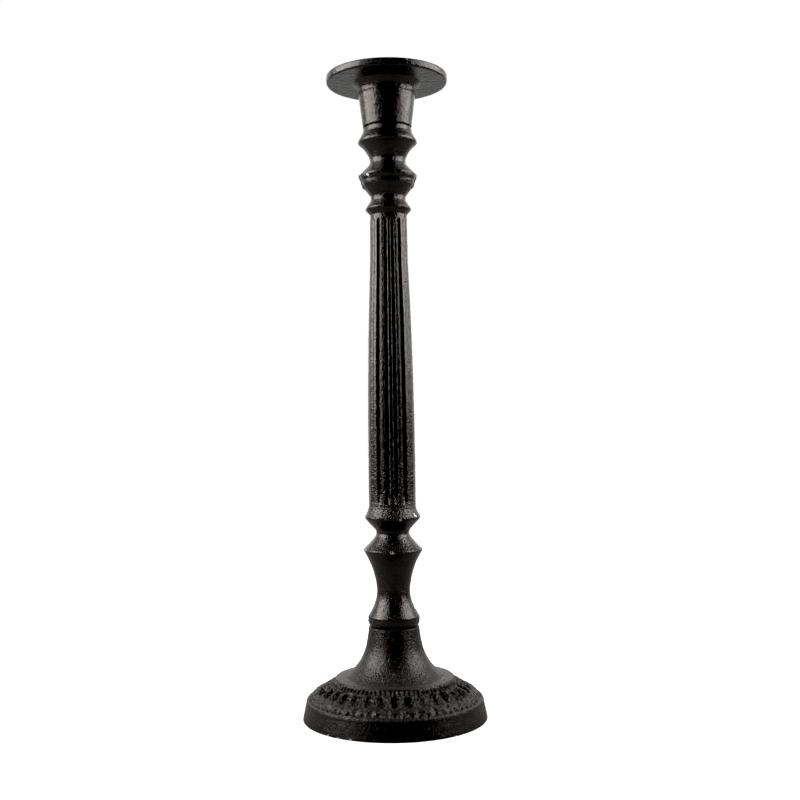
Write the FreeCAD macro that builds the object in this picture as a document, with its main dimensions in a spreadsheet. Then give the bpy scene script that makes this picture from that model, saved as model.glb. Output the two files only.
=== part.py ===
import FreeCAD, Part
import math
import os
import Sketcher

# Cast iron candlestick, fourteen inches high, for one taper candle.
# Three sand castings stand on one another: a hollow base, a fluted stem, and a
# candle cup cast in one with its drip pan. A stud, two washers and a nut inside
# the base pull it against the stem, and a screw down the cup holds the cup.
# Origin: centre of the circle that the base stands on, +Z up, millimetres.

sizes = {
    # Base casting, outside, from the table up
    "base_radius": 51.2,
    "skirt_rise": 9.1,
    "skirt_draft": 1.85,
    "rim_round_rise": 3.0,
    "rim_round_width": 1.75,
    "band_rise": 7.9,
    "band_width": 12.0,
    "dome_edge_rise": 2.8,
    "dome_edge_width": 3.1,
    "dome_rise": 0.4,
    "dome_width": 5.3,
    "bell_rise": 16.2,
    "neck_rise": 10.7,
    "neck_draft": 1.8,
    "neck_round": 0.5,
    "neck_radius": 14.05,
    # Base casting, inside
    "base_wall": 4.0,
    "neck_seat_thickness": 12.6,
    # Carved band of the base
    "leaf_length": 6.8,
    "leaf_gouge_radius": 2.6,
    "leaf_gouge_depth": 1.4,
    "scallop_length": 3.3,
    "scallop_radius": 1.7,
    "scallop_proud": 0.65,
    # Stem casting, from its seat on the base up
    "foot_seat_radius": 13.7,
    "foot_rise": 4.5,
    "foot_radius": 14.2,
    "foot_edge_rise": 1.2,
    "vase_foot_rise": 12.1,
    "vase_waist_radius": 9.1,
    "vase_rise": 23.9,
    "vase_ring_radius": 16.3,
    "vase_ring_draft": 0.15,
    "vase_ring_rise": 0.8,
    "lower_cone_rise": 7.7,
    "lower_waist_radius": 9.35,
    "lower_waist_rise": 3.2,
    "lower_collar_slope_rise": 5.9,
    "lower_collar_radius": 14.85,
    "lower_collar_edge_rise": 2.3,
    "lower_collar_fall": 5.1,
    "column_radius": 12.9,
    "column_straight_rise": 22.7,
    "column_taper_rise": 112.0,
    "column_shoulder_radius": 10.45,
    "column_neck_rise": 26.6,
    "column_neck_radius": 10.1,
    "upper_collar_slope_rise": 2.2,
    "upper_collar_radius": 12.25,
    "upper_collar_edge_rise": 1.9,
    "upper_collar_fall": 3.6,
    "upper_waist_radius": 9.8,
    "upper_waist_rise": 2.8,
    "ridge_cone_rise": 5.3,
    "ridge_radius": 14.05,
    "ridge_rise": 2.9,
    "ridge_flare": 0.75,
    "flash_ring_slope_rise": 1.6,
    "flash_ring_radius": 15.9,
    "flash_ring_draft": 0.3,
    "flash_ring_rise": 1.6,
    "upper_cone_rise": 5.2,
    "top_waist_radius": 10.9,
    "top_waist_draft": 0.45,
    "top_waist_rise": 5.2,
    "top_bead_slope_rise": 7.0,
    "top_bead_radius": 16.0,
    "top_bead_edge_rise": 2.1,
    "top_bead_fall": 4.2,
    "stem_neck_radius": 13.65,
    "stem_neck_rise": 1.7,
    "stem_neck_draft": 0.2,
    "stem_top_round": 1.3,
    # Flutes of the column
    "flute_radius": 1.65,
    "flute_depth": 0.8,
    "flute_end_land": 3.4,
    "flute_runout": 2.2,
    # Candle cup with its drip pan
    "cup_foot_radius": 13.6,
    "cup_wall_rise": 17.4,
    "cup_wall_flare": 2.15,
    "cup_flare_rise": 6.3,
    "cup_flare_radius": 18.6,
    "cup_crease_rise": 0.4,
    "pan_under_radius": 33.0,
    "pan_edge_rise": 1.3,
    "pan_radius": 33.6,
    "pan_rim_rise": 2.0,
    "pan_rim_round": 1.0,
    "pan_lip_width": 1.3,
    "pan_lip_depth": 1.5,
    "candle_bore_radius": 11.2,
    "bore_chamfer": 0.8,
    "cup_web_thickness": 2.6,
    # Stud, washers and nut that hold the base
    "stud_radius": 4.0,
    "stud_engagement": 16.0,
    "stud_proud": 3.0,
    "stud_chamfer": 0.7,
    "tap_runout": 3.0,
    "thread_clearance": 0.05,
    "stud_hole_clearance": 0.5,
    "flat_washer_radius": 8.0,
    "flat_washer_thickness": 1.6,
    "washer_clearance": 0.2,
    "stud_lock_washer_width": 3.4,
    "stud_lock_washer_thickness": 2.0,
    "nut_across_flats": 13.0,
    "nut_height": 6.5,
    "nut_corner_chamfer": 0.5,
    # Screw and washer that hold the cup
    "screw_radius": 2.5,
    "screw_engagement": 11.0,
    "screw_tip_chamfer": 0.5,
    "screw_hole_clearance": 0.3,
    "screw_head_radius": 4.75,
    "screw_head_height": 3.0,
    "screw_slot_width": 1.2,
    "screw_slot_depth": 1.4,
    "screw_lock_washer_width": 1.8,
    "screw_lock_washer_thickness": 1.2,
    "counterbore_clearance": 0.9,
    "head_sink": 0.2,
    "lock_washer_gap": 0.8,
    # How far every cutter runs past the metal that it cuts
    "cut_overrun": 1.0,
}

counts = {
    "leaf_count": 34,
    "flute_count": 16,
    "nut_side_count": 6,
}

# Shares: how far a curved stretch of an outline bulges, as a share of half its
# chord. Walking up the outside, a bulge is out from the axis and a cove is in.
# The others place a feature at a share of the way along something.
shares = {
    "rim_bulge_share": 0.3,
    "band_bulge_share": 0.03,
    "dome_edge_bulge_share": 0.05,
    "dome_bulge_share": 0.03,
    "bell_cove_share": -0.18,
    "neck_cove_share": -0.03,
    "edge_round_share": 0.4,
    "foot_bulge_share": 0.12,
    "foot_cove_share": -0.1,
    "vase_cove_share": -0.13,
    "cone_cove_share": -0.05,
    "waist_cove_share": -0.24,
    "collar_bulge_share": 0.3,
    "collar_cove_share": -0.12,
    "upper_collar_bulge_share": 0.45,
    "upper_waist_cove_share": -0.17,
    "ridge_bulge_share": 0.06,
    "top_waist_cove_share": -0.33,
    "top_bead_cove_share": -0.13,
    "top_bead_bulge_share": 0.36,
    "cup_flare_cove_share": -0.3,
    "pan_edge_bulge_share": 0.2,
    "leaf_place_share": 0.5,
    "scallop_place_share": 0.15,
    "head_round_share": 0.4,
    "half_share": 0.5,
}

document = FreeCAD.newDocument("Candlestick")
sheet = document.addObject("Spreadsheet::Sheet", "Sizes")
for row, (alias, value) in enumerate({**sizes, **counts, **shares}.items(), start=1):
    sheet.set(f"A{row}", alias)
    sheet.set(f"B{row}", str(value))
    sheet.setAlias(f"B{row}", alias)
document.recompute()

tangent = "tangent"
straight = 0.0
zero = 0.0
full_turn = 360.0
drill_point_angle = 118.0


class Size:
    """A length and the sheet formula that gives it."""

    def __init__(self, formula, value):
        self.formula = formula
        self.value = value

    def __add__(self, other):
        return Size(f"({self.formula} + {other.formula})", self.value + other.value)

    def __sub__(self, other):
        return Size(f"({self.formula} - {other.formula})", self.value - other.value)

    def __mul__(self, share):
        return Size(f"({self.formula} * {share})", self.value * share)


def size(alias):
    return Size(f"Sizes.{alias}", sizes[alias])


nothing = Size("0", zero)


def origin_part(body, role):
    return next(part for part in body.Origin.OriginFeatures if part.Role == role)


def new_body(name):
    body = document.addObject("PartDesign::Body", name)
    body.Label = name
    return body


def new_sketch(body, name, plane="XZ_Plane", height=nothing, count=None):
    """A sketch on one of the body's own planes. Height lifts it off the XY plane.

    A count turns it about the axis by half the pitch of that many repeats, so
    that the seam of a turned solid lies between two of them.
    """
    sketch = body.newObject("Sketcher::SketchObject", name)
    sketch.AttachmentSupport = [(origin_part(body, plane), "")]
    sketch.MapMode = "FlatFace"
    if height is not nothing:
        sketch.setExpression("AttachmentOffset.Base.z", height.formula)
    if count:
        turn = FreeCAD.Rotation(FreeCAD.Vector(0, 1, 0), full_turn / counts[count] / 2)
        sketch.AttachmentOffset = FreeCAD.Placement(FreeCAD.Vector(), turn)
    return sketch


def set_round(feature, body, across, height):
    """Seat a round feature beside the axis."""
    feature.AttachmentSupport = [(origin_part(body, "XY_Plane"), "")]
    feature.MapMode = "FlatFace"
    feature.setExpression("AttachmentOffset.Base.x", across.formula)
    feature.setExpression("AttachmentOffset.Base.z", height.formula)


def arc_through(start, end, bulge):
    """The arc from start to end, and whether the sketch keeps it that way round."""
    chord = end - start
    side = FreeCAD.Vector(chord.y, -chord.x, zero)
    radius = chord.Length * (1 + bulge * bulge) / (4 * abs(bulge))
    reach = math.sqrt(max(radius * radius - chord.Length * chord.Length / 4, zero))
    centre = (start + end) / 2 - side.normalize() * math.copysign(reach, bulge)
    first, last = (start, end) if bulge > 0 else (end, start)
    circle = Part.Circle(centre, FreeCAD.Vector(0, 0, 1), radius)
    angles = [math.atan2(p.y - centre.y, p.x - centre.x) for p in (first, last)]
    return Part.ArcOfCircle(circle, *angles), bulge > 0


def draw(sketch, stations, closed=True):
    """Lines and arcs through stations of (radius, height, bulge of the next edge)."""
    points = [FreeCAD.Vector(r.value, z.value, zero) for r, z, _ in stations]
    total = len(points)
    edge_total = total if closed else total - 1
    edges, starts, ends, heading = [], [], [], None
    for index in range(edge_total):
        start, end = points[index], points[(index + 1) % total]
        bulge = stations[index][2]
        chord_angle = math.atan2(end.y - start.y, end.x - start.x)
        if bulge == tangent:
            bulge = math.tan((chord_angle - heading) / 2)
        forward = True
        if bulge == straight:
            edges.append(Part.LineSegment(start, end))
        else:
            edge, forward = arc_through(start, end, bulge)
            edges.append(edge)
        heading = chord_angle + 2 * math.atan(bulge)
        starts.append(1 if forward else 2)
        ends.append(2 if forward else 1)
    sketch.addGeometry(edges, False)

    for index in range(0 if closed else 1, edge_total):
        kind = "Tangent" if stations[index][2] == tangent else "Coincident"
        before = (index - 1) % total
        sketch.addConstraint(Sketcher.Constraint(kind, before, ends[before], index, starts[index]))
    for index, (radius, height, _) in enumerate(stations):
        if index < edge_total:
            place(sketch, index, starts[index], radius, height)
        else:
            place(sketch, index - 1, ends[index - 1], radius, height)
    for index in range(edge_total):
        radius, height, bulge = stations[index]
        if bulge in (straight, tangent):
            continue
        next_radius, next_height, _ = stations[(index + 1) % total]
        across, up = next_radius - radius, next_height - height
        chord = f"sqrt(({across.formula})^2 + ({up.formula})^2)"
        scale = (1 + bulge * bulge) / (4 * abs(bulge))
        value = math.hypot(across.value, up.value) * scale
        bind(sketch, Sketcher.Constraint("Radius", index, value), f"{chord} * {scale}")


def bind(sketch, constraint, formula):
    number = sketch.addConstraint(constraint)
    sketch.setExpression(f"Constraints[{number}]", formula)


def place(sketch, edge, corner, across, up):
    """Fix one corner of the sketch at its distances from the origin."""
    for kind, axis, length in (("DistanceX", -2, across), ("DistanceY", -1, up)):
        if length is nothing:
            sketch.addConstraint(Sketcher.Constraint("PointOnObject", edge, corner, axis))
        else:
            distance = Sketcher.Constraint(kind, -1, 1, edge, corner, length.value)
            bind(sketch, distance, length.formula)


def draw_circle(sketch, radius, centre=nothing):
    """A circle centred on the sketch's horizontal axis."""
    middle = FreeCAD.Vector(centre.value, zero, zero)
    ring = Part.Circle(middle, FreeCAD.Vector(0, 0, 1), radius.value)
    edge = sketch.addGeometry(ring, False)
    bind(sketch, Sketcher.Constraint("Radius", edge, radius.value), radius.formula)
    place(sketch, edge, 3, centre, nothing)


def revolve(body, name, sketch, kind="PartDesign::Revolution"):
    turned = body.newObject(kind, name)
    turned.Profile = sketch
    turned.ReferenceAxis = (sketch, ["V_Axis"])
    turned.Angle = full_turn
    return turned


def pad(body, name, sketch, length):
    raised = body.newObject("PartDesign::Pad", name)
    raised.Profile = sketch
    raised.setExpression("Length", length.formula)
    return raised


def around(body, name, originals, count):
    """Repeat features round the Z axis."""
    document.recompute()
    pattern = body.newObject("PartDesign::PolarPattern", name)
    pattern.Originals = originals
    pattern.Axis = (origin_part(body, "Z_Axis"), [""])
    pattern.Angle = full_turn
    pattern.setExpression("Occurrences", f"Sizes.{count}")
    body.Tip = pattern
    document.recompute()


def check_repeats(body, plain, faces_of_one, count):
    """Every repeat after the plain solid leaves at least so many faces of its own."""
    found = (len(body.Shape.Faces) - len(plain.Shape.Faces)) / faces_of_one
    if found < counts[count]:
        raise RuntimeError(f"{body.Label} has {found} of its {counts[count]} repeats")


def drill(body, name, sketch, radius, depth, upwards, pointed=True):
    """A round hole from the sketch's circles into the metal, of the given depth."""
    document.recompute()
    volume = body.Shape.Volume
    hole = body.newObject("PartDesign::Hole", name)
    hole.Profile = sketch
    hole.ThreadType = "None"
    hole.DepthType = "Dimension"
    hole.DrillPoint = "Angled" if pointed else "Flat"
    hole.DrillPointAngle = drill_point_angle
    hole.Reversed = upwards
    hole.setExpression("Diameter", f"2 * {radius.formula}")
    hole.setExpression("Depth", depth.formula)
    document.recompute()
    if hole.Shape.Volume >= volume:
        raise RuntimeError(f"{name} cuts nothing")


def climb(stations, rows):
    """Add stations to an outline, each at a rise above the one before."""
    height = stations[-1][1]
    for rise, radius, bulge in rows:
        height = height + rise
        stations.append((radius, height, bulge))
    return height


# Base casting: the outside is walked from the table up to the neck, and the
# hollow under it back down, one wall thickness inside.
base = new_body("base")
skirt_top_radius = size("base_radius") - size("skirt_draft")
band_radius = skirt_top_radius - size("rim_round_width")
band_top_radius = band_radius - size("band_width")
dome_radius = band_top_radius - size("dome_edge_width")
bell_foot_radius = dome_radius - size("dome_width")
bell_top_radius = size("neck_radius") + size("neck_draft")
stud_hole_radius = size("stud_radius") + size("stud_hole_clearance")

band_height = size("skirt_rise") + size("rim_round_rise")
band_top_height = band_height + size("band_rise")
dome_height = band_top_height + size("dome_edge_rise")
bell_foot_height = dome_height + size("dome_rise")
bell_top_height = bell_foot_height + size("bell_rise")
neck_height = bell_top_height + size("neck_rise")
base_height = neck_height + size("neck_round")
ceiling_height = base_height - size("neck_seat_thickness")

base_outline = new_sketch(base, "base_outline", count="leaf_count")
draw(base_outline, [
    (size("base_radius"), nothing, straight),
    (skirt_top_radius, size("skirt_rise"), shares["rim_bulge_share"]),
    (band_radius, band_height, shares["band_bulge_share"]),
    (band_top_radius, band_top_height, shares["dome_edge_bulge_share"]),
    (dome_radius, dome_height, shares["dome_bulge_share"]),
    (bell_foot_radius, bell_foot_height, shares["bell_cove_share"]),
    (bell_top_radius, bell_top_height, shares["neck_cove_share"]),
    (size("neck_radius"), neck_height, shares["edge_round_share"]),
    (size("neck_radius") - size("neck_round"), base_height, straight),
    (stud_hole_radius, base_height, straight),
    (stud_hole_radius, ceiling_height, straight),
    (bell_top_radius - size("base_wall"), ceiling_height, -shares["bell_cove_share"]),
    (bell_foot_radius, bell_foot_height - size("base_wall"), straight),
    (band_top_radius, band_top_height - size("base_wall"), straight),
    (skirt_top_radius - size("base_wall"), size("skirt_rise"), straight),
    (size("base_radius") - size("base_wall"), nothing, straight),
])
base_turned = revolve(base, "base_turned", base_outline)

# Carved band: a ring of leaf hollows, each the cut of a round gouge laid along
# the slope, with a ring of half-round scallops outside it. The leaves that stand
# between the hollows are the metal left over.
band_slope = math.degrees(math.atan2(size("band_width").value, size("band_rise").value))
slope_formula = "atan(Sizes.band_width / Sizes.band_rise)"
band_length = math.hypot(size("band_width").value, size("band_rise").value)
band_length_formula = "sqrt(Sizes.band_width^2 + Sizes.band_rise^2)"


def square_to_band(lift, side):
    """How far a lift square to the slope goes across or up, by the band's other side."""
    formula = f"({lift.formula} * Sizes.{side} / {band_length_formula})"
    return Size(formula, lift.value * sizes[side] / band_length)


def on_band(feature, radius, length, place_share, lift):
    """Lay a round bar along the slope, its outer end at a share of the band's width."""
    feature.setExpression("Radius", f"Sizes.{radius}")
    feature.setExpression("Height", f"Sizes.{length}")
    across = band_radius - size("band_width") * place_share + square_to_band(lift, "band_rise")
    height = band_height + size("band_rise") * place_share + square_to_band(lift, "band_width")
    lean = FreeCAD.Rotation(FreeCAD.Vector(0, -1, 0), band_slope)
    feature.AttachmentOffset = FreeCAD.Placement(FreeCAD.Vector(), lean)
    set_round(feature, base, across, height)
    feature.setExpression("AttachmentOffset.Rotation.Angle", slope_formula)


leaf_hollow = base.newObject("PartDesign::SubtractiveCylinder", "leaf_hollow")
gouge_lift = size("leaf_gouge_radius") - size("leaf_gouge_depth")
on_band(leaf_hollow, "leaf_gouge_radius", "leaf_length", shares["leaf_place_share"], gouge_lift)
around(base, "leaf_ring", [leaf_hollow], "leaf_count")
check_repeats(base, base_turned, 3, "leaf_count")

scallop = base.newObject("PartDesign::AdditiveCylinder", "scallop")
scallop_lift = size("scallop_proud") - size("scallop_radius")
on_band(scallop, "scallop_radius", "scallop_length", shares["scallop_place_share"], scallop_lift)
leaf_ring = base.Tip
around(base, "scallop_ring", [scallop], "leaf_count")
check_repeats(base, leaf_ring, 2, "leaf_count")
half_leaf = full_turn / counts["leaf_count"] / 2
base.Placement.Rotation = FreeCAD.Rotation(FreeCAD.Vector(0, 0, 1), half_leaf)

# Stem casting: foot, vase, ring, collar, column and the turned knops above it,
# one above the other from the seat on the base to the seat of the cup.
stem = new_body("stem")
foot_edge_radius = size("foot_radius")
ring_low_radius = size("vase_ring_radius") - size("vase_ring_draft")
flash_low_radius = size("flash_ring_radius") - size("flash_ring_draft")
top_waist_high_radius = size("top_waist_radius") - size("top_waist_draft")
stem_shoulder_radius = size("stem_neck_radius") - size("stem_neck_draft")

stem_stations = [
    (nothing, base_height, straight),
    (size("foot_seat_radius"), base_height, shares["foot_bulge_share"]),
]
column_base_height = climb(stem_stations, [
    (size("foot_rise"), size("foot_radius"), straight),
    (size("foot_edge_rise"), foot_edge_radius, shares["foot_cove_share"]),
    (size("vase_foot_rise"), size("vase_waist_radius"), shares["vase_cove_share"]),
    (size("vase_rise"), ring_low_radius, straight),
    (size("vase_ring_rise"), size("vase_ring_radius"), shares["cone_cove_share"]),
    (size("lower_cone_rise"), size("lower_waist_radius"), shares["waist_cove_share"]),
    (size("lower_waist_rise"), size("lower_waist_radius"), straight),
    (size("lower_collar_slope_rise"), size("lower_collar_radius"), shares["collar_bulge_share"]),
    (size("lower_collar_edge_rise"), size("lower_collar_radius"), shares["collar_cove_share"]),
    (size("lower_collar_fall"), size("column_radius"), straight),
])
column_top_height = climb(stem_stations, [
    (size("column_straight_rise"), size("column_radius"), tangent),
    (size("column_taper_rise"), size("column_shoulder_radius"), straight),
    (size("column_neck_rise"), size("column_neck_radius"), straight),
])
stem_height = climb(stem_stations, [
    (size("upper_collar_slope_rise"), size("upper_collar_radius"), shares["upper_collar_bulge_share"]),
    (size("upper_collar_edge_rise"), size("upper_collar_radius"), straight),
    (size("upper_collar_fall"), size("upper_waist_radius"), shares["upper_waist_cove_share"]),
    (size("upper_waist_rise"), size("upper_waist_radius"), straight),
    (size("ridge_cone_rise"), size("ridge_radius"), shares["ridge_bulge_share"]),
    (size("ridge_rise"), size("ridge_radius") + size("ridge_flare"), straight),
    (size("flash_ring_slope_rise"), flash_low_radius, straight),
    (size("flash_ring_rise"), size("flash_ring_radius"), straight),
    (size("upper_cone_rise"), size("top_waist_radius"), shares["top_waist_cove_share"]),
    (size("top_waist_rise"), top_waist_high_radius, shares["top_bead_cove_share"]),
    (size("top_bead_slope_rise"), size("top_bead_radius"), shares["top_bead_bulge_share"]),
    (size("top_bead_edge_rise"), size("top_bead_radius"), straight),
    (size("top_bead_fall"), size("stem_neck_radius"), straight),
    (size("stem_neck_rise"), stem_shoulder_radius, shares["edge_round_share"]),
    (size("stem_top_round"), stem_shoulder_radius - size("stem_top_round"), straight),
])
stem_stations.append((nothing, stem_height, straight))
stem_outline = new_sketch(stem, "stem_outline", count="flute_count")
draw(stem_outline, stem_stations)
stem_turned = revolve(stem, "stem_turned", stem_outline)

# Flutes: a round cutter follows the column's own line at a constant depth, in
# its straight foot, its taper and its neck. Short of each collar it runs out of
# the metal on a slope, which gives each flute a round end.
flute_offset = size("flute_radius") - size("flute_depth")
clear_offset = size("flute_radius") + size("cut_overrun")
flute_low = column_base_height + size("flute_end_land")
flute_high = column_top_height - size("flute_end_land")
straight_top = column_base_height + size("column_straight_rise")
shoulder_height = straight_top + size("column_taper_rise")
flute_stations = [
    (size("column_radius") + clear_offset, flute_low - size("flute_runout"), straight),
    (size("column_radius") + flute_offset, flute_low, straight),
    (size("column_radius") + flute_offset, straight_top, tangent),
    (size("column_shoulder_radius") + flute_offset, shoulder_height, straight),
    (size("column_neck_radius") + flute_offset, flute_high, straight),
    (size("column_neck_radius") + clear_offset, flute_high + size("flute_runout"), straight),
]
flute_line = new_sketch(stem, "flute_line")
draw(flute_line, flute_stations, closed=False)
for number, (across, height, _) in enumerate(flute_stations[:-1], start=1):
    section = new_sketch(stem, f"flute_section_{number}", "XY_Plane", height)
    draw_circle(section, size("flute_radius"), across)
    document.recompute()
    flute = stem.newObject("PartDesign::SubtractivePipe", f"flute_{number}")
    flute.Profile = section
    flute.Spine = (flute_line, [f"Edge{number}"])
    around(stem, f"flute_ring_{number}", [flute], "flute_count")
check_repeats(stem, stem_turned, number, "flute_count")
half_flute = full_turn / counts["flute_count"] / 2
stem.Placement.Rotation = FreeCAD.Rotation(FreeCAD.Vector(0, 0, 1), half_flute)

# Tapped holes of the stem: the stud's in its foot, the cup screw's in its top.
foot_tap = new_sketch(stem, "foot_tap", "XY_Plane", base_height)
foot_tap_radius = size("stud_radius") + size("thread_clearance")
draw_circle(foot_tap, foot_tap_radius)
foot_tap_depth = size("stud_engagement") + size("tap_runout")
drill(stem, "foot_tapped_hole", foot_tap, foot_tap_radius, foot_tap_depth, True)
top_tap = new_sketch(stem, "top_tap", "XY_Plane", stem_height)
top_tap_radius = size("screw_radius") + size("thread_clearance")
draw_circle(top_tap, top_tap_radius)
top_tap_depth = size("screw_engagement") + size("tap_runout")
drill(stem, "top_tapped_hole", top_tap, top_tap_radius, top_tap_depth, False)

# Candle cup: the tapering cup flares into the flat drip pan, which has a raised
# lip. The candle's bore stops above a sink for the head of the screw.
cup = new_body("candle_cup")
sink_depth = size("screw_lock_washer_thickness") + size("screw_head_height") + size("head_sink")
web_height = stem_height + size("cup_web_thickness")
candle_seat_height = web_height + sink_depth
cup_wall_radius = size("cup_foot_radius") + size("cup_wall_flare")
pan_lip_radius = size("pan_radius") - size("pan_rim_round")
lip_inner_radius = pan_lip_radius - size("pan_lip_width")
tray_radius = lip_inner_radius - size("pan_lip_depth")

cup_stations = [
    (nothing, stem_height, straight),
    (size("cup_foot_radius"), stem_height, straight),
]
total_height = climb(cup_stations, [
    (size("cup_wall_rise"), cup_wall_radius, shares["cup_flare_cove_share"]),
    (size("cup_flare_rise"), size("cup_flare_radius"), straight),
    (size("cup_crease_rise"), size("cup_flare_radius") + size("cup_crease_rise"), straight),
    (nothing, size("pan_under_radius"), shares["pan_edge_bulge_share"]),
    (size("pan_edge_rise"), size("pan_radius"), straight),
    (size("pan_rim_rise"), size("pan_radius"), shares["edge_round_share"]),
    (size("pan_rim_round"), pan_lip_radius, straight),
])
tray_height = total_height - size("pan_lip_depth")
mouth_height = tray_height - size("bore_chamfer")
cup_stations += [
    (lip_inner_radius, total_height, straight),
    (tray_radius, tray_height, straight),
    (size("candle_bore_radius") + size("bore_chamfer"), tray_height, straight),
    (size("candle_bore_radius"), mouth_height, straight),
    (size("candle_bore_radius"), candle_seat_height, straight),
    (nothing, candle_seat_height, straight),
]
cup_outline = new_sketch(cup, "cup_outline")
draw(cup_outline, cup_stations)
revolve(cup, "cup_turned", cup_outline)
sink_radius = size("screw_head_radius") + size("counterbore_clearance")
head_sink_circle = new_sketch(cup, "head_sink_circle", "XY_Plane", candle_seat_height)
draw_circle(head_sink_circle, sink_radius)
drill(cup, "head_sink", head_sink_circle, sink_radius, sink_depth, False, pointed=False)
screw_hole_radius = size("screw_radius") + size("screw_hole_clearance")
screw_hole_circle = new_sketch(cup, "screw_hole_circle", "XY_Plane", web_height)
draw_circle(screw_hole_circle, screw_hole_radius)
screw_hole_depth = size("cup_web_thickness") + size("cut_overrun")
drill(cup, "screw_hole", screw_hole_circle, screw_hole_radius, screw_hole_depth, False, pointed=False)

# Stud: a threaded rod with chamfered ends, screwed up into the stem's foot.
flat_washer_height = ceiling_height - size("flat_washer_thickness")
lock_washer_height = flat_washer_height - size("stud_lock_washer_thickness")
nut_low_height = lock_washer_height - size("nut_height")
stud_low_height = nut_low_height - size("stud_proud")
stud_top_height = base_height + size("stud_engagement")
stud_tip_radius = size("stud_radius") - size("stud_chamfer")

stud = new_body("base_stud")
stud_outline = new_sketch(stud, "stud_outline")
draw(stud_outline, [
    (nothing, stud_low_height, straight),
    (stud_tip_radius, stud_low_height, straight),
    (size("stud_radius"), stud_low_height + size("stud_chamfer"), straight),
    (size("stud_radius"), stud_top_height - size("stud_chamfer"), straight),
    (stud_tip_radius, stud_top_height, straight),
    (nothing, stud_top_height, straight),
])
revolve(stud, "stud_turned", stud_outline)


def ring(name, inner, outer, height, thickness):
    """A flat ring that lies with its underside at the given height."""
    body = new_body(name)
    circles = new_sketch(body, f"{name}_circles", "XY_Plane", height)
    draw_circle(circles, outer)
    draw_circle(circles, inner)
    pad(body, f"{name}_blank", circles, thickness)
    return body


def split(body, name, inner, outer, height, thickness):
    """Cut the slit that makes a ring a spring lock washer."""
    document.recompute()
    volume = body.Shape.Volume
    slit = new_sketch(body, f"{name}_slit", "XY_Plane", height)
    half_gap = size("lock_washer_gap") * shares["half_share"]
    low = inner - size("cut_overrun")
    high = outer + size("cut_overrun")
    corners = [(low, nothing), (high, nothing), (high, half_gap), (low, half_gap)]
    draw(slit, [(across, up, straight) for across, up in corners])
    pocket = body.newObject("PartDesign::Pocket", f"{name}_split")
    pocket.Profile = slit
    pocket.Reversed = True
    pocket.setExpression("Length", thickness.formula)
    document.recompute()
    if pocket.Shape.Volume >= volume:
        raise RuntimeError(f"{name} slit cuts nothing")


washer_bore = size("stud_radius") + size("washer_clearance")
ring("base_flat_washer", washer_bore, size("flat_washer_radius"), flat_washer_height,
     size("flat_washer_thickness"))

stud_lock_outer = washer_bore + size("stud_lock_washer_width")
stud_lock_washer = ring("base_lock_washer", washer_bore, stud_lock_outer, lock_washer_height,
                        size("stud_lock_washer_thickness"))
split(stud_lock_washer, "base_lock_washer", washer_bore, stud_lock_outer, lock_washer_height,
      size("stud_lock_washer_thickness"))

# Nut: a hexagon with both rims of its corners turned off at thirty degrees.
nut = new_body("base_nut")
nut_section = new_sketch(nut, "nut_section", "XY_Plane", nut_low_height)
corner_radius = size("nut_across_flats").value / math.sqrt(3)
corner_formula = "Sizes.nut_across_flats / sqrt(3)"
sides = range(counts["nut_side_count"])
last_side = sides[-1]
turns = [math.radians(full_turn) * side / len(sides) for side in sides]
corners = [
    FreeCAD.Vector(corner_radius * math.cos(turn), corner_radius * math.sin(turn), zero)
    for turn in turns
]
nut_section.addGeometry([Part.LineSegment(corners[side - 1], corners[side]) for side in sides], False)
corner_circle = nut_section.addGeometry(
    Part.Circle(FreeCAD.Vector(), FreeCAD.Vector(0, 0, 1), corner_radius), True)
nut_section.addConstraint(
    [Sketcher.Constraint("Coincident", side, 1, (side - 1) % len(sides), 2) for side in sides]
    + [Sketcher.Constraint("PointOnObject", side, 2, corner_circle) for side in sides]
    + [Sketcher.Constraint("Equal", side, last_side) for side in sides if side != last_side]
    + [Sketcher.Constraint("Coincident", corner_circle, 3, -1, 1),
       Sketcher.Constraint("PointOnObject", 0, 2, -1)])
bind(nut_section, Sketcher.Constraint("Radius", corner_circle, corner_radius), corner_formula)
draw_circle(nut_section, size("stud_radius") + size("thread_clearance"))
pad(nut, "nut_blank", nut_section, size("nut_height"))

nut_corner = Size(f"({corner_formula})", corner_radius)
nut_outside = nut_corner + size("cut_overrun")
for name, height, direction in (
    ("nut_low_chamfer", nut_low_height, 1),
    ("nut_top_chamfer", lock_washer_height, -1),
):
    document.recompute()
    volume = nut.Shape.Volume
    chamfer = new_sketch(nut, f"{name}_outline")
    inward = nut_corner - size("nut_across_flats") * shares["half_share"]
    depth = size("nut_corner_chamfer") * direction
    run = size("cut_overrun") * direction
    draw(chamfer, [
        (nut_corner - inward, height, straight),
        (nut_corner, height + depth, straight),
        (nut_outside, height + depth, straight),
        (nut_outside, height - run, straight),
        (nut_corner - inward, height - run, straight),
    ])
    revolve(nut, name, chamfer, "PartDesign::Groove")
    document.recompute()
    if nut.Shape.Volume >= volume:
        raise RuntimeError(f"{name} cuts nothing")

# Cup screw: a slotted pan head on a plain shank the size of its thread.
screw_seat_height = web_height + size("screw_lock_washer_thickness")
screw_head_top = screw_seat_height + size("screw_head_height")
screw_low_height = stem_height - size("screw_engagement")
screw_tip_radius = size("screw_radius") - size("screw_tip_chamfer")
head_round = size("screw_head_height") * shares["head_round_share"]

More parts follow.
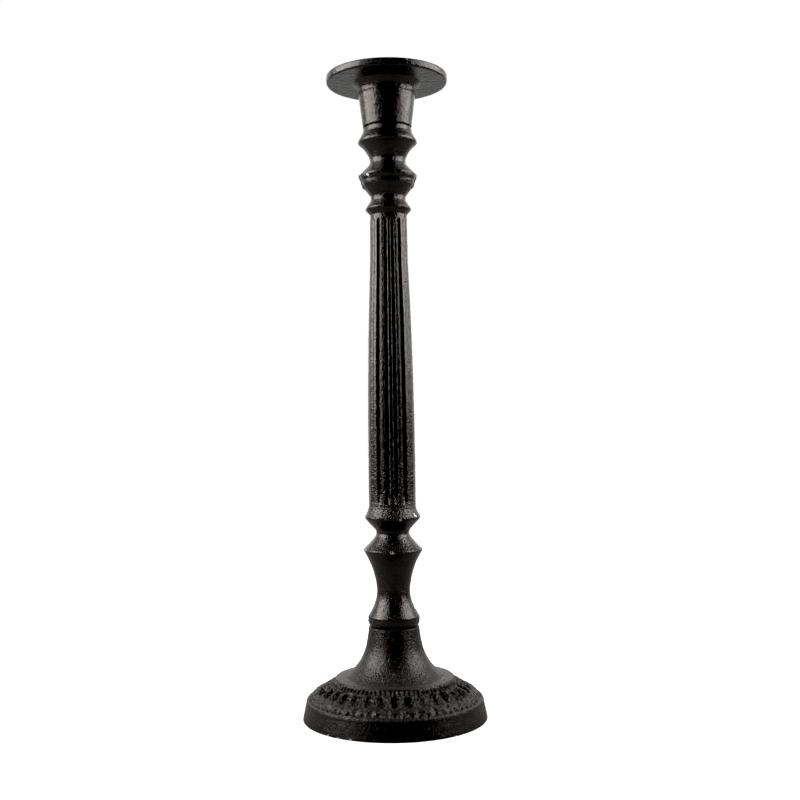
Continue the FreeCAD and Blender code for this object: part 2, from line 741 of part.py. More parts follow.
screw = new_body("cup_screw")
screw_outline = new_sketch(screw, "screw_outline")
draw(screw_outline, [
    (nothing, screw_low_height, straight),
    (screw_tip_radius, screw_low_height, straight),
    (size("screw_radius"), screw_low_height + size("screw_tip_chamfer"), straight),
    (size("screw_radius"), screw_seat_height, straight),
    (size("screw_head_radius"), screw_seat_height, straight),
    (size("screw_head_radius"), screw_head_top - head_round, shares["edge_round_share"]),
    (size("screw_head_radius") - head_round, screw_head_top, straight),
    (nothing, screw_head_top, straight),
])
revolve(screw, "screw_turned", screw_outline)
document.recompute()
screw_volume = screw.Shape.Volume
slot_outline = new_sketch(screw, "slot_outline", "XY_Plane", screw_head_top - size("screw_slot_depth"))
slot_half = size("screw_slot_width") * shares["half_share"]
slot_reach = size("screw_head_radius") + size("cut_overrun")
slot_corners = [(slot_reach, slot_half), (nothing - slot_reach, slot_half),
                (nothing - slot_reach, nothing - slot_half), (slot_reach, nothing - slot_half)]
draw(slot_outline, [(across, up, straight) for across, up in slot_corners])
slot = screw.newObject("PartDesign::Pocket", "screw_slot")
slot.Profile = slot_outline
slot.Reversed = True
slot.setExpression("Length", (size("screw_slot_depth") + size("cut_overrun")).formula)
document.recompute()
if screw.Shape.Volume >= screw_volume:
    raise RuntimeError("screw_slot cuts nothing")

screw_washer_bore = size("screw_radius") + size("washer_clearance")
screw_washer_outer = screw_washer_bore + size("screw_lock_washer_width")
cup_lock_washer = ring("cup_lock_washer", screw_washer_bore, screw_washer_outer, web_height,
                       size("screw_lock_washer_thickness"))
split(cup_lock_washer, "cup_lock_washer", screw_washer_bore, screw_washer_outer, web_height,
      size("screw_lock_washer_thickness"))

document.recompute()
for part in document.Objects:
    if "Invalid" in part.State or "Error" in part.State:
        raise RuntimeError(f"{part.Label} failed: {part.State}")
os.makedirs("parts", exist_ok=True)
for body in document.findObjects("PartDesign::Body"):
    if body.Shape.isNull() or not body.Shape.isValid():
        raise RuntimeError(f"{body.Label} has no valid shape")
    print(body.Label, len(body.Shape.Solids), round(body.Shape.Volume), body.Shape.BoundBox)
    body.Shape.exportStep(f"parts/{body.Label}.step")
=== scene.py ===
import bmesh
import bpy
import math
from mathutils import Matrix, Vector, noise


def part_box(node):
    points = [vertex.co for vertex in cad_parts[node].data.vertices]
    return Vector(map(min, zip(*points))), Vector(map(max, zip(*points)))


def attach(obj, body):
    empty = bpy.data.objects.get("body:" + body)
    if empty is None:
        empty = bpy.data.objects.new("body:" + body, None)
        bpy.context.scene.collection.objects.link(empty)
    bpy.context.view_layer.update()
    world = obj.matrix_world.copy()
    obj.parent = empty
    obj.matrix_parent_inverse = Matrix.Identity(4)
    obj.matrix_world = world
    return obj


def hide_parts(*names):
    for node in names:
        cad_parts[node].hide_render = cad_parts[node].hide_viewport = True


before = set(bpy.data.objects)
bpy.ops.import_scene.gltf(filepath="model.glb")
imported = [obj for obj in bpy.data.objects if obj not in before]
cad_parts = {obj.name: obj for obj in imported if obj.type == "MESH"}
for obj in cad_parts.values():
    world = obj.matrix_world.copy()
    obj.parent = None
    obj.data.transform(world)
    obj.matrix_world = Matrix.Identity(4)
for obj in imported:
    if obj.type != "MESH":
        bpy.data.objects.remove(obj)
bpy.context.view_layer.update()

# Studio, in metres: a white table top between two tall softboxes, with a paper
# sweep behind and a dark room in front. The camera is level, a little under half
# way up, with its frame shifted up and tilted by less than a degree.
table_width = 1.6
bpy.ops.object.select_all(action="DESELECT")
bpy.ops.mesh.primitive_plane_add(size=table_width, location=(0, 0, 0))
table_top = bpy.context.object
table_top.name = "table_top"
table_white = bpy.data.materials.new("table_white")
table_white.use_nodes = True
table_nodes, table_links = table_white.node_tree.nodes, table_white.node_tree.links
lit_table = table_nodes["Principled BSDF"]
lit_table.inputs["Base Color"].default_value = (0.5, 0.5, 0.5, 1)
lit_table.inputs["Roughness"].default_value = 0.9
lit_table.inputs["Specular IOR Level"].default_value = 0.1
lit_table.inputs["Emission Color"].default_value = (1, 1, 1, 1)
lit_table.inputs["Emission Strength"].default_value = 0.86
dim_table = table_nodes.new("ShaderNodeBsdfDiffuse")
dim_table.inputs["Color"].default_value = (0.22, 0.22, 0.22, 1)
table_rays = table_nodes.new("ShaderNodeLightPath")
shown_table = table_nodes.new("ShaderNodeMixShader")
table_links.new(table_rays.outputs["Is Camera Ray"], shown_table.inputs["Fac"])
table_links.new(dim_table.outputs[0], shown_table.inputs[1])
table_links.new(lit_table.outputs[0], shown_table.inputs[2])
table_links.new(shown_table.outputs[0], table_nodes["Material Output"].inputs["Surface"])
table_top.data.materials.append(table_white)


def reckon(operation, first, second):
    """A Math node on the output of another node and on a second output or a number."""
    tree = first.id_data
    step = tree.nodes.new("ShaderNodeMath")
    step.operation = operation
    tree.links.new(first, step.inputs[0])
    if isinstance(second, (int, float)):
        step.inputs[1].default_value = second
    else:
        tree.links.new(second, step.inputs[1])
    return step.outputs[0]


def ramp(value, low, high, to_low=0.0, to_high=1.0):
    """Carry a value from one range to another, and hold it there."""
    tree = value.id_data
    step = tree.nodes.new("ShaderNodeMapRange")
    tree.links.new(value, step.inputs["Value"])
    for name, number in zip(("From Min", "From Max", "To Min", "To Max"), (low, high, to_low, to_high)):
        step.inputs[name].default_value = number
    return step.outputs[0]


# The room lights the candlestick from behind, more from above the table's level
# than from below it, and a little from overhead. The camera sees plain white.
room = bpy.data.worlds.new("studio")
bpy.context.scene.world = room
room.use_nodes = True
room_nodes, room_links = room.node_tree.nodes, room.node_tree.links
direction = room_nodes.new("ShaderNodeSeparateXYZ")
room_links.new(room_nodes.new("ShaderNodeTexCoord").outputs["Generated"], direction.inputs[0])
behind_candlestick = ramp(direction.outputs["Y"], 0.3, 0.9, 0.0, 1.1)
paper_sweep = ramp(direction.outputs["Z"], -0.2, 0.2, 0.5, 1.15)
overhead = ramp(direction.outputs["Z"], 0.7, 1.0, 0.0, 0.16)
room_glow = reckon("ADD", reckon("MULTIPLY", behind_candlestick, paper_sweep), overhead)
room_light = room_nodes["Background"]
room_light.inputs["Color"].default_value = (1.0, 0.99, 0.98, 1)
room_links.new(room_glow, room_light.inputs["Strength"])
backdrop = room_nodes.new("ShaderNodeBackground")
backdrop.inputs["Color"].default_value = (1.0, 1.0, 1.0, 1)
room_rays = room_nodes.new("ShaderNodeLightPath")
shown_room = room_nodes.new("ShaderNodeMixShader")
room_links.new(room_rays.outputs["Is Camera Ray"], shown_room.inputs["Fac"])
room_links.new(room_light.outputs[0], shown_room.inputs[1])
room_links.new(backdrop.outputs[0], shown_room.inputs[2])
room_links.new(shown_room.outputs[0], room_nodes["World Output"].inputs["Surface"])


def softbox(name, azimuth, distance, height, width, tall, watts):
    """A warm, soft lamp turned to the candlestick's axis, a little below its own height."""
    turn = math.radians(azimuth)
    place = Vector((distance * math.sin(turn), -distance * math.cos(turn), height))
    aim = Vector((0, 0, height * 0.75))
    bpy.ops.object.light_add(type="AREA", location=place)
    lamp = bpy.context.object
    lamp.name = name
    lamp.rotation_euler = (aim - place).to_track_quat("-Z", "Y").to_euler()
    lamp.data.shape = "RECTANGLE"
    lamp.data.size, lamp.data.size_y = width, tall
    lamp.data.energy = watts
    lamp.data.color = (1.0, 0.935, 0.885)
    lamp.visible_camera = False


softbox("left_softbox", azimuth=-80, distance=0.9, height=0.69, width=1.0, tall=0.92, watts=25)
softbox("right_softbox", azimuth=88, distance=0.9, height=0.70, width=0.95, tall=0.9, watts=18)

eye = bpy.data.cameras.new("camera")
eye.sensor_width, eye.lens = 36.0, 48.82
eye.shift_x, eye.shift_y = 0.0109, 0.0291
camera = bpy.data.objects.new("camera", eye)
bpy.context.scene.collection.objects.link(camera)
eye_distance, eye_height = 0.603, 0.163
level, tilt = math.radians(90), math.radians(-0.8)
camera.matrix_world = (
    Matrix.Translation((0, -eye_distance, eye_height))
    @ Matrix.Rotation(level, 4, "X")
    @ Matrix.Rotation(tilt, 4, "Z")
)
bpy.context.scene.camera = camera
film = bpy.context.scene.view_settings
film.view_transform = "Standard"
film.use_curve_mapping = True
film.curve_mapping.black_level = (0.008, 0.008, 0.008)

# Base, in millimetres as are the pieces after it: a hollow sand casting, a round
# foot with a carved leaf band, a low dome and a bell that runs up to the neck. It
# is painted satin black over the cast skin.
mm = 0.001


def heights_of(node):
    """Lowest and highest point of a CAD node, from the frame."""
    low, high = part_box(node)
    return round(low.z / mm, 1), round(high.z / mm, 1)


def start_outline(name, corner):
    """The first corner of an outline, beside the axis, for the next edges to grow from."""
    radius, height, _ = corner
    bpy.ops.object.select_all(action="DESELECT")
    bpy.ops.mesh.primitive_plane_add(size=mm, location=(radius * mm, 0, height * mm))
    casting = bpy.context.object
    casting.name = name
    bpy.ops.object.transform_apply(location=True, rotation=True, scale=True)
    bpy.ops.object.mode_set(mode="EDIT")
    bpy.ops.mesh.select_mode(type="VERT")
    bpy.ops.mesh.select_all(action="SELECT")
    bpy.ops.mesh.merge(type="CENTER")
    return casting


def walk(corners, chord):
    """Carry the outline on from corner to corner, each (radius, height, bulge of the edge to it).

    A bulge is the tangent of a quarter of the arc's angle: the metal's edge is straight at 0, round
    above 0 and hollow below 0. An arc has at least three chords, of about the given length.
    """
    for (radius, height, _), (next_radius, next_height, bulge) in zip(corners, corners[1:]):
        across, up = (next_radius - radius) * mm, (next_height - height) * mm
        if bulge == 0:
            bpy.ops.mesh.extrude_vertices_move(TRANSFORM_OT_translate={"value": (across, 0, up)})
            continue
        half_angle = 2 * math.atan(bulge)
        lift = 0.5 / math.tan(half_angle)
        centre = (radius * mm + across / 2 - up * lift, 0, height * mm + up / 2 + across * lift)
        chords = max(3, round(math.hypot(across, up) / (chord * mm)))
        bpy.ops.mesh.spin(steps=chords, angle=2 * half_angle, center=centre, axis=(0, 1, 0))


def ease_corners(casting, width):
    """Round every sharp corner of the outline a little, as sand leaves it."""
    nearly_straight = -0.96
    bpy.ops.mesh.select_all(action="SELECT")
    bpy.ops.mesh.remove_doubles(threshold=0.01 * mm)
    outline = bmesh.from_edit_mesh(casting.data)
    for corner in outline.verts:
        arms = [(edge.other_vert(corner).co - corner.co).normalized() for edge in corner.link_edges]
        corner.select = len(arms) == 2 and arms[0].dot(arms[1]) > nearly_straight
    outline.select_flush_mode()
    bpy.ops.mesh.bevel(offset=width * mm, segments=3, affect="VERTICES")


def divide(casting, spacing):
    """Halve every run of the outline that is longer than the spacing at its place, until none is."""
    bpy.ops.mesh.select_mode(type="EDGE")
    while True:
        long_runs = 0
        for edge in bmesh.from_edit_mesh(casting.data).edges:
            middle = (edge.verts[0].co + edge.verts[1].co) / 2 / mm
            edge.select = edge.calc_length() > spacing(middle.x, middle.z) * mm
            long_runs += edge.select
        if not long_runs:
            return
        bpy.ops.mesh.subdivide(number_cuts=1)


def turn_casting(casting, steps):
    """Turn the outline once round the axis and close the seam and the poles."""
    bpy.ops.object.mode_set(mode="OBJECT")
    bpy.ops.object.modifier_add(type="SCREW")
    lathe = casting.modifiers[-1]
    lathe.axis, lathe.angle = "Z", 2 * math.pi
    lathe.steps = lathe.render_steps = steps
    bpy.ops.object.modifier_apply(modifier=lathe.name)
    bpy.ops.object.mode_set(mode="EDIT")
    bpy.ops.mesh.select_all(action="SELECT")
    bpy.ops.mesh.remove_doubles(threshold=0.002 * mm)
    bpy.ops.mesh.normals_make_consistent(inside=False)
    bpy.ops.object.mode_set(mode="OBJECT")
    bpy.ops.object.shade_smooth()


def lift_surface(casting, name, height, share):
    """Raise the skin by a height times a share of it, by radius, height and angle from the front."""
    least_share = 0.001
    group = casting.vertex_groups.new(name=name)
    for corner in casting.data.vertices:
        x, y, z = corner.co
        weight = share(math.hypot(x, y) / mm, z / mm, math.atan2(x, -y))
        if weight > least_share:
            group.add([corner.index], min(weight, 1.0), "REPLACE")
    bpy.ops.object.modifier_add(type="DISPLACE")
    push = casting.modifiers[-1]
    push.direction, push.mid_level = "NORMAL", 0.0
    push.strength, push.vertex_group = height * mm, name
    bpy.ops.object.modifier_apply(modifier=push.name)
    casting.vertex_groups.remove(casting.vertex_groups[name])


def roughen(casting, size, depth):
    """Uneven cast skin: soft lumps of a size, pressed in by up to a depth."""
    lumps = bpy.data.textures.new("cast_skin", "CLOUDS")
    lumps.noise_scale, lumps.noise_depth = size * mm, 2
    bpy.ops.object.modifier_add(type="DISPLACE")
    skin = casting.modifiers[-1]
    skin.texture, skin.texture_coords, skin.direction = lumps, "LOCAL", "NORMAL"
    skin.mid_level, skin.strength = 1.0, depth * mm
    bpy.ops.object.modifier_apply(modifier=skin.name)


table_height, neck_height = heights_of("base")
ceiling_height, skirt_height = 38.0, 9.1
base_wall, stud_hole_radius, base_radius = 4.0, 4.5, 51.2
skirt_radius, band_top_radius, bell_top_radius = 49.35, 35.6, 15.85
base_hollow = [
    # Hole of the stud, and ceiling of the hollow
    (stud_hole_radius, neck_height, 0), (stud_hole_radius, ceiling_height, 0),
    (bell_top_radius - base_wall, ceiling_height, 0),
    # Bell, dome, band and skirt from inside
    (26.8, 18.9, 0.18), (band_top_radius, 14.0, 0), (skirt_radius - base_wall, skirt_height, 0),
    (base_radius - base_wall, table_height, 0),
]
base_outside = [
    base_hollow[-1],
    # Rim on the table, skirt and its round edge
    (base_radius, table_height, 0), (skirt_radius, skirt_height, 0), (47.6, 12.1, 0.3),
    # Band, edge of the dome, and dome
    (band_top_radius, 20.0, 0.03), (32.5, 22.8, 0.05), (27.2, 23.2, 0.03),
    # Bell, neck and its round edge, and the seat of the stem
    (bell_top_radius, 39.4, -0.18), (14.05, 50.1, -0.03), (13.55, neck_height, 0.4),
    (stud_hole_radius, neck_height, 0),
]
base = start_outline("base_casting", base_hollow[0])
walk(base_hollow, chord=3.0)
walk(base_outside, chord=0.8)
ease_corners(base, width=0.3)


def base_rows(radius, height):
    """Longest run at a place: short on the upper half of the band, and long in the hollow and on the
    band's lower half, where the arc's own chords are kept."""
    upper = height > 24.5 - radius * 0.2 and radius > 13.5
    skirt = radius > 48.9
    if (upper or skirt) and radius > 31.5 and height > 11.0:
        return 0.42
    return 1.2 if upper or skirt else 3.5


divide(base, base_rows)
leaf_count, steps_to_a_leaf = 34, 15
turn_casting(base, leaf_count * steps_to_a_leaf)


def hump(across, along):
    """A soft round hump that is 1 in the middle and 0 beyond its edge."""
    return max(0.0, 1 - across * across - along * along)


def steep(share):
    """A wall with eased top and foot, from 0 to 1."""
    share = min(1.0, max(0.0, share))
    return share * share * (3 - 2 * share)


def uneven(angle, along, times_round, times_along, seed):
    """Smooth chance between -1 and 1 over the skin, by the angle and the distance along it."""
    return noise.noise((angle * times_round, along * times_along, seed))


def in_repeat(radius, angle, count):
    """Distance from the middle of a repeat of what goes round so many times, and its number."""
    turn = angle / (2 * math.pi) * count
    number = round(turn)
    return (turn - number) * 2 * math.pi * radius / count, number


def on_band(radius, height):
    """Whether a place is on the outer skin of the band, above the middle of the wall."""
    wall_middle = 10.8 + (48 - radius) * 0.55
    return 33.0 < radius < 48.6 and height > wall_middle


def leaf_hollow_share(radius, height, angle):
    """The hollow between two leaves, each with its own place, width and depth, and a ragged edge."""
    if not on_band(radius, height):
        return 0
    ring, half_width, half_length = 39.3, 3.1, 3.2
    across, number = in_repeat(radius, angle, leaf_count)
    wander, wide, deep = (noise.noise((number * 3.7, row, 0.0)) for row in (0.5, 4.5, 7.5))
    ragged = 0.32 * uneven(angle, radius, 24, 0.8, 2.0) + 0.16 * uneven(angle, radius, 60, 2, 6.0)
    sideways = (across - 1.3 * wander) / (half_width + wide)
    reach = math.hypot(sideways, (radius - ring - wide) / half_length) + ragged
    depth = 0.75 + 0.2 * abs(math.cos(angle)) + 0.4 * deep
    return depth * steep((1.15 - reach) / 0.45)


def leaf_share(radius, height, angle):
    """The leaf that stands between two hollows, with a fine vein down its middle."""
    if not on_band(radius, height):
        return 0
    ring, half_width, half_length, vein_width = 39.4, 1.7, 4.6, 0.3
    across, _ = in_repeat(radius, angle + math.pi / leaf_count, leaf_count)
    vein = math.exp(-(across / vein_width) ** 2) * 0.5
    along = (radius - ring) / half_length
    return hump(across / half_width, along) ** 0.6 - vein * hump(0, along)


def scallop_share(radius, height, angle):
    """A half-round scallop outside each hollow, with a dip in its middle."""
    if not on_band(radius, height):
        return 0
    ring, half_width, half_length = 44.6, 3.6, 1.9
    dip_ring, dip_half_width, dip_half_length = 44.3, 2.4, 0.8
    across, _ = in_repeat(radius, angle, leaf_count)
    shell = hump(across / half_width, (radius - ring) / half_length) ** 0.5
    return shell - 0.75 * hump(across / dip_half_width, (radius - dip_ring) / dip_half_length)


def pit_share(radius, height, angle):
    """Small pits between the rim of the dome and the leaves, five to two leaves."""
    in_row = 33.0 < radius < 36.4 and height > 18.8
    if not in_row:
        return 0
    ring, half_width, half_length = 34.4, 0.85, 1.0
    across, _ = in_repeat(radius, angle, leaf_count * 2.5)
    ragged = 0.5 * uneven(angle, radius, 30, 1, 5)
    reach = math.hypot(across / half_width, (radius - ring) / half_length) + ragged
    return steep((1.1 - reach) / 0.5)


def dash_share(radius, height, angle):
    """Short pressed dashes along the edge of the skirt, two to a leaf."""
    in_row = 45.6 < radius < 48.6 and height > 10.4
    if not in_row:
        return 0
    ring, half_width, half_length = 47.1, 1.5, 0.75
    across, _ = in_repeat(radius, angle, leaf_count * 2)
    ragged = 0.6 * uneven(angle, radius, 30, 1, 9)
    reach = math.hypot(across / half_width, (radius - ring) / half_length) + ragged
    return steep((1.1 - reach) / 0.6)


def band_sand_share(radius, height, angle):
    """Lumps that the coarse moulding sand left all over the band."""
    if not on_band(radius, height):
        return 0
    lump = 0.95
    return 0.5 + 0.5 * noise.noise((angle * radius / lump, radius / lump, height / lump))


lift_surface(base, "leaf_hollows", -2.7, leaf_hollow_share)
lift_surface(base, "leaves", 0.5, leaf_share)
lift_surface(base, "scallops", 0.9, scallop_share)
lift_surface(base, "pits", -1.1, pit_share)
lift_surface(base, "dashes", -1.0, dash_share)
lift_surface(base, "band_sand", -0.5, band_sand_share)
roughen(base, size=3.0, depth=0.15)
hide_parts("base")
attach(base, "root")

paint = bpy.data.materials.new("black_paint")
paint.use_nodes = True
paint_nodes, paint_links = paint.node_tree.nodes, paint.node_tree.links
coat = paint_nodes["Principled BSDF"]
coat.inputs["IOR"].default_value = 1.46
on_paint = paint_nodes.new("ShaderNodeTexCoord").outputs["Object"]


def mottle(place, size, detail, rough=0.5):
    """Noise with lumps of about a size, by the place on the piece."""
    tree = place.id_data
    cloud = tree.nodes.new("ShaderNodeTexNoise")
    cloud.inputs["Scale"].default_value = 1 / mm / size
    cloud.inputs["Detail"].default_value = detail
    cloud.inputs["Roughness"].default_value = rough
    tree.links.new(place, cloud.inputs["Vector"])
    return cloud.outputs["Fac"]


def kept_share(finish, name):
    """A share that wear or gritty keeps at each corner of the mesh."""
    kept = finish.node_tree.nodes.new("ShaderNodeAttribute")
    kept.attribute_name = name
    return kept.outputs["Fac"]


# The paint's relief, in millimetres: sand grain, and long waves under it, less
# the small pits of the sand and a few open pores.
grit = kept_share(paint, "grit")
sand_height, fine_sand_height, wave_height, pit_depth, pore_depth = 0.42, 0.14, 0.17, 0.2, 0.35
sand = mottle(on_paint, 1.15, 1)
fine_sand = mottle(on_paint, 0.7, 0)
waves = mottle(on_paint, 4.0, 2)
pits = ramp(mottle(on_paint, 1.0, 1), 0.30, 0.40, 1, 0)
pores = paint_nodes.new("ShaderNodeTexVoronoi")
pores.inputs["Scale"].default_value = 1 / mm / 3.6
paint_links.new(on_paint, pores.inputs["Vector"])
pore = ramp(pores.outputs["Distance"], 0.10, 0.22, 1, 0)
open_pore = reckon("MULTIPLY", pore, ramp(mottle(on_paint, 7, 1), 0.55, 0.6))
open_pore = reckon("MULTIPLY", open_pore, grit)
relief = reckon("MULTIPLY", reckon("MULTIPLY", sand, sand_height), grit)
fine_relief = reckon("MULTIPLY", reckon("MULTIPLY", fine_sand, fine_sand_height), reckon("ADD", grit, 0.3))
relief = reckon("ADD", relief, fine_relief)
relief = reckon("ADD", relief, reckon("MULTIPLY", waves, wave_height))
relief = reckon("SUBTRACT", relief, reckon("MULTIPLY", reckon("MULTIPLY", pits, pit_depth), grit))
relief = reckon("SUBTRACT", relief, reckon("MULTIPLY", open_pore, pore_depth))
bump = paint_nodes.new("ShaderNodeBump")
bump.inputs["Strength"].default_value = 1.0
bump.inputs["Distance"].default_value = mm
paint_links.new(relief, bump.inputs["Height"])
paint_links.new(bump.outputs["Normal"], coat.inputs["Normal"])

# Its colour and gloss: satin, near black with faint clouds, and bare iron where
# a knock has chipped it.
knocked = reckon("MULTIPLY", kept_share(paint, "edge"), 0.6)
worn = ramp(reckon("ADD", mottle(on_paint, 1.1, 2), knocked), 0.86, 0.89)
clouded = paint_nodes.new("ShaderNodeMix")
clouded.data_type = "RGBA"
clouded.inputs["A"].default_value = (0.0026, 0.0024, 0.0023, 1)
clouded.inputs["B"].default_value = (0.0055, 0.0050, 0.0047, 1)
paint_links.new(ramp(waves, 0.35, 0.7), clouded.inputs["Factor"])
chipped = paint_nodes.new("ShaderNodeMix")
chipped.data_type = "RGBA"
chipped.inputs["B"].default_value = (0.52, 0.50, 0.48, 1)
paint_links.new(worn, chipped.inputs["Factor"])
paint_links.new(clouded.outputs["Result"], chipped.inputs["A"])
paint_links.new(chipped.outputs["Result"], coat.inputs["Base Color"])
paint_links.new(worn, coat.inputs["Metallic"])
satin = ramp(reckon("ADD", mottle(on_paint, 1.6, 3), reckon("MULTIPLY", grit, 0.3)), 0.4, 0.95, 0.19, 0.30)
satin.node.name = "satin"
paint_links.new(reckon("ADD", satin, reckon("MULTIPLY", open_pore, 0.3)), coat.inputs["Roughness"])


def wear(casting, spots):
    """Bare places of (degrees from the front, radius, height, size), where knocks took the paint off."""
    kept = casting.data.attributes.new("edge", "FLOAT", "POINT")
    for degrees, radius, height, size in spots:
        turn = math.radians(degrees)
        knock = Vector((radius * math.sin(turn), -radius * math.cos(turn), height)) * mm
        for corner in casting.data.vertices:
            away = (corner.co - knock).length / (size * mm)
            if away < 1:
                kept.data[corner.index].value = 1 - away * away


def gritty(casting, share):
    """How sandy the skin is at each corner, by radius and height."""
    kept = casting.data.attributes.new("grit", "FLOAT", "POINT")
    for corner in casting.data.vertices:
        x, y, z = corner.co / mm
        kept.data[corner.index].value = share(math.hypot(x, y), z)


def base_grit(radius, height):
    """Sandiest on the band, smooth on the skirt, and smoother up the bell the nearer it comes to the neck."""
    band = 35.0 < radius < 49.0 and height > 9.5
    skirt = height < 17
    if band:
        return 1.0
    return 0.25 if skirt else 0.42 + 0.58 * steep((radius - 17) / 8)


gritty(base, base_grit)
wear(base, (
    (-44, 51.1, 0.4, 1.5), (-36, 51.2, 0.2, 1.6), (-27, 51.1, 0.3, 1.4), (38, 51.2, 0.2, 1.2),
    (112, 51.1, 0.3, 2.0), (201, 51.2, 0.2, 2.2), (-131, 51.1, 0.4, 1.8),
))
sandy_paint = paint.copy()
sandy_paint.name = "black_paint_sandy"
dusty = sandy_paint.node_tree.nodes["Principled BSDF"]
dusty.inputs["IOR"].default_value = 1.36
dusty.inputs["Sheen Weight"].default_value = 0.05
dusty.inputs["Sheen Roughness"].default_value = 0.4
dusty.inputs["Sheen Tint"].default_value = (1.0, 0.9, 0.8, 1)
dusty_satin = sandy_paint.node_tree.nodes["satin"]
dusty_satin.inputs["To Min"].default_value = 0.27
dusty_satin.inputs["To Max"].default_value = 0.38
base.data.materials.append(sandy_paint)

# Stem: one sand casting between the base and the cup, from a two-part mould that
# parts at the left and right. The flutes of its column fade out towards the
# parting and down to the lower collar.
stem_low, stem_high = heights_of("stem")
waist_radius, collar_radius, column_radius = 9.35, 14.85, 12.9
upper_collar_radius, upper_waist_radius, bead_radius = 12.25, 9.8, 16.0
stem_corners = [
    # Foot
    (0, stem_low, 0), (13.0, stem_low, 0), (14.2, 54.6, 0.22), (14.2, 56.3, 0),
    # Vase with its ring, and the waist over it
    (9.75, 65.6, -0.09), (9.2, 71.8, -0.09), (16.15, 92.3, -0.118), (16.3, 93.1, 0),
    (waist_radius, 100.8, -0.05), (waist_radius, 104.0, -0.24),
    # Lower collar and column
    (collar_radius, 109.9, 0), (collar_radius, 112.2, 0.3), (column_radius, 117.3, -0.12),
    (column_radius, 140.0, 0), (10.45, 252.0, 0.0109), (10.1, 278.6, 0),
    # Upper collar and the waist over it
    (upper_collar_radius, 280.8, 0), (upper_collar_radius, 282.7, 0.45),
    (upper_waist_radius, 286.3, 0), (upper_waist_radius, 289.1, -0.17),
    # Ridge, flash ring and the top waist over them
    (14.05, 294.4, 0), (14.8, 297.3, 0.06), (15.6, 298.9, 0), (15.9, 300.5, 0),
    (10.9, 305.7, 0), (10.45, 310.9, -0.33),
    # Top bead, neck and the seat of the cup
    (bead_radius, 317.9, -0.13), (bead_radius, 320.0, 0.36), (13.65, 324.2, 0),
    (13.45, 325.9, 0), (12.15, stem_high, 0.4), (0, stem_high, 0),
]
stem = start_outline("stem_casting", stem_corners[0])
walk(stem_corners, chord=1.1)
ease_corners(stem, width=0.35)


def stem_rows(radius, height):
    """Longest run: long on the flat ends near the axis, and a little shorter on the flutes than elsewhere."""
    if radius < 8:
        return 5.0
    fluted = 118.5 < height < 277.5
    return 1.25 if fluted else 1.3


divide(stem, stem_rows)
flute_count, steps_to_a_flute = 16, 16
turn_casting(stem, flute_count * steps_to_a_flute)


def flute_share(radius, height, angle):
    """A rough groove that narrows with the column. It runs out above the lower collar, has round ends, and
    is nearly gone at the mould's parting."""
    flute_low, flute_high, run_out = 117.6, 275.8, 7
    if not flute_low < height < flute_high:
        return 0
    across, _ = in_repeat(radius, angle + math.pi / flute_count, flute_count)
    to_end = min(height - flute_low, flute_high - height)
    half_width = 0.122 * radius
    reach = math.hypot(across, max(0.0, half_width - to_end / 1.6)) / half_width
    reach += 0.2 * uneven(angle, height, 9, 0.45, 1.0) + 0.12 * uneven(angle, height, 9, 1.3, 4.0)
    off_collar = min(1.0, (height - flute_low) / run_out)
    off_parting = min(1.0, max(0.0, (abs(math.cos(angle)) - 0.5) / 0.42))
    return off_collar * steep((1.08 - reach) / 1.1) * radius / column_radius * (0.15 + 0.85 * off_parting)


def parting_share(radius, height, angle):
    """The ragged fin that the mould left at its parting, highest on the flash ring."""
    if radius < 8:
        return 0
    ragged = 0.5 + 0.5 * noise.noise((height * 0.7, angle, 3.0))
    on_flash_ring = 293.5 < height < 301.5
    half_thickness = 0.45
    fin = 1.0 if on_flash_ring else 0.3
    return fin * ragged * max(0.0, 1 - abs(math.cos(angle)) * radius / half_thickness)


lift_surface(stem, "flutes", -1.9, flute_share)
lift_surface(stem, "parting", 0.8, parting_share)
roughen(stem, size=3.5, depth=0.16)


def stem_grit(radius, height):
    """Sandiest where the column meets the lower collar, then smoother up the column."""
    if 110 < height < 119:
        return 1.0
    if 112 < height < 282:
        return 0.35 + 0.25 * steep((155 - height) / 30)
    return 0.38


gritty(stem, stem_grit)
wear(stem, (
    (-45, 15.5, 298.6, 1.7), (58, 14.9, 112.3, 1.9), (17, 14.9, 110.4, 1.3), (-2, 16.3, 92.9, 1.7),
    (-70, 16.3, 93.0, 1.6), (140, 16.3, 92.9, 1.9), (215, 15.6, 298.8, 1.8), (170, 14.9, 111.5, 1.6),
    (95, 16.2, 319.0, 1.7),
))
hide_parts("stem")
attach(stem, "root")
stem.data.materials.append(paint)

# Candle cup: a third casting, a tapered cup that flares into a round drip pan
# with a raised lip. It stands on the stem and is held by a screw down its bore.
cup_low, cup_high = heights_of("candle_cup")
screw_hole_radius, head_sink_radius, candle_radius, pan_radius = 2.8, 5.65, 11.2, 33.6
web_height, candle_seat, pan_underside, pan_floor = 329.8, 334.2, 351.3, 354.1
cup_corners = [
    # Seat on the stem, cup and its flare
    (screw_hole_radius, cup_low, 0), (13.6, cup_low, 0), (15.75, 344.6, 0), (18.6, 350.9, -0.3),
    # Pan from below, its edge and its lip
    (19.0, pan_underside, 0), (33.0, pan_underside, 0), (pan_radius, 352.6, 0.2), (pan_radius, 354.6, 0),
    (32.6, cup_high, 0.4), (31.3, cup_high, 0), (29.8, pan_floor, 0), (12.0, pan_floor, 0),
    # Bore of the candle, sink of the screw's head, and the screw's hole
    (candle_radius, 353.3, 0), (candle_radius, candle_seat, 0), (head_sink_radius, candle_seat, 0),
    (head_sink_radius, web_height, 0), (screw_hole_radius, web_height, 0), (screw_hole_radius, cup_low, 0),
]
cup = start_outline("candle_cup_casting", cup_corners[0])
walk(cup_corners, chord=0.6)
ease_corners(cup, width=0.3)


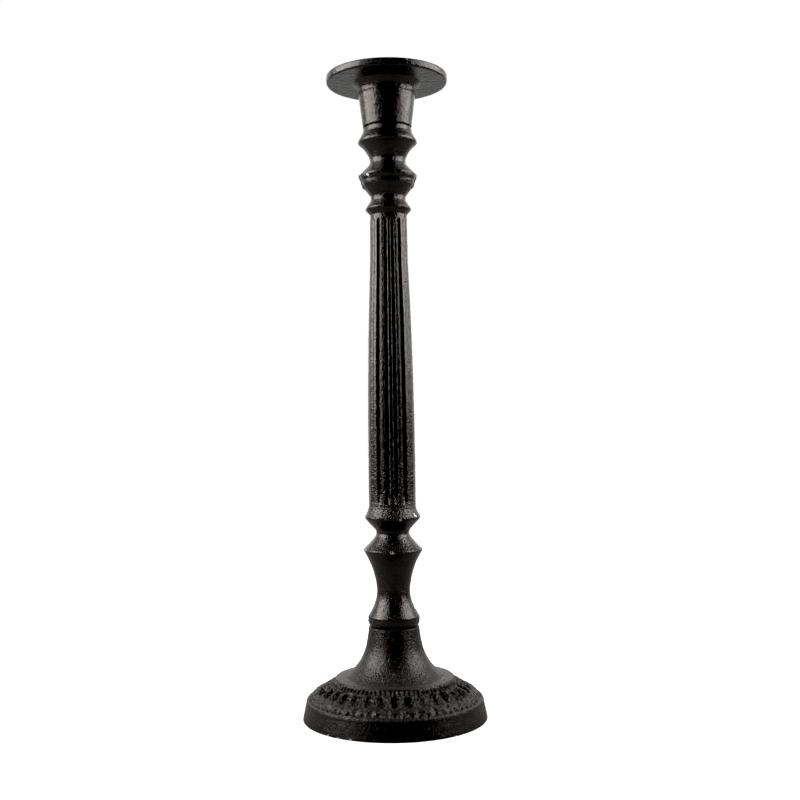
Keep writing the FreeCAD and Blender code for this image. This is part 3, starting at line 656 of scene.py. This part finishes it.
def cup_rows(radius, height):
    """Longest run: long down the bore, short elsewhere."""
    return 0.7 if radius > 11.5 else 2.0


def cup_grit(radius, height):
    """The cup is as smooth as the stem's column, all over."""
    return 0.35


divide(cup, cup_rows)
turn_casting(cup, steps=256)
roughen(cup, size=3.5, depth=0.16)
gritty(cup, cup_grit)
wear(cup, (
    (19, 33.5, 354.9, 1.2), (26, 33.4, 355.2, 0.9), (-137, 33.4, 351.8, 1.7), (58, 17.2, 348.5, 1.0),
    (160, 33.2, 355.2, 2.0), (-60, 32.9, 355.4, 1.4),
))
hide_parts("candle_cup")
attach(cup, "root")
cup.data.materials.append(paint)

# Fasteners: the stud, nut and washers inside the base, and the screw and washer
# down the cup. They are steel with a cloudy, finely scratched plating of zinc,
# and keep their CAD shapes.
zinc = bpy.data.materials.new("zinc_plate")
zinc.use_nodes = True
zinc_nodes, zinc_links = zinc.node_tree.nodes, zinc.node_tree.links
plate = zinc_nodes["Principled BSDF"]
plate.inputs["Metallic"].default_value = 1.0
on_zinc = zinc_nodes.new("ShaderNodeTexCoord").outputs["Object"]
cloudy = mottle(on_zinc, 2.5, 3, 0.6)
bloom = zinc_nodes.new("ShaderNodeMix")
bloom.data_type = "RGBA"
bloom.inputs["A"].default_value = (0.50, 0.51, 0.55, 1)
bloom.inputs["B"].default_value = (0.66, 0.64, 0.58, 1)
zinc_links.new(ramp(cloudy, 0.35, 0.65), bloom.inputs["Factor"])
zinc_links.new(bloom.outputs["Result"], plate.inputs["Base Color"])
zinc_links.new(ramp(cloudy, 0.3, 0.7, 0.28, 0.48), plate.inputs["Roughness"])
scratches = zinc_nodes.new("ShaderNodeBump")
scratches.inputs["Strength"].default_value = 1.0
scratches.inputs["Distance"].default_value = 0.04 * mm
zinc_links.new(mottle(on_zinc, 0.5, 2), scratches.inputs["Height"])
zinc_links.new(scratches.outputs["Normal"], plate.inputs["Normal"])
for node in ("base_stud", "base_flat_washer", "base_lock_washer", "base_nut", "cup_screw", "cup_lock_washer"):
    for part_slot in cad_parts[node].material_slots:
        part_slot.material = zinc
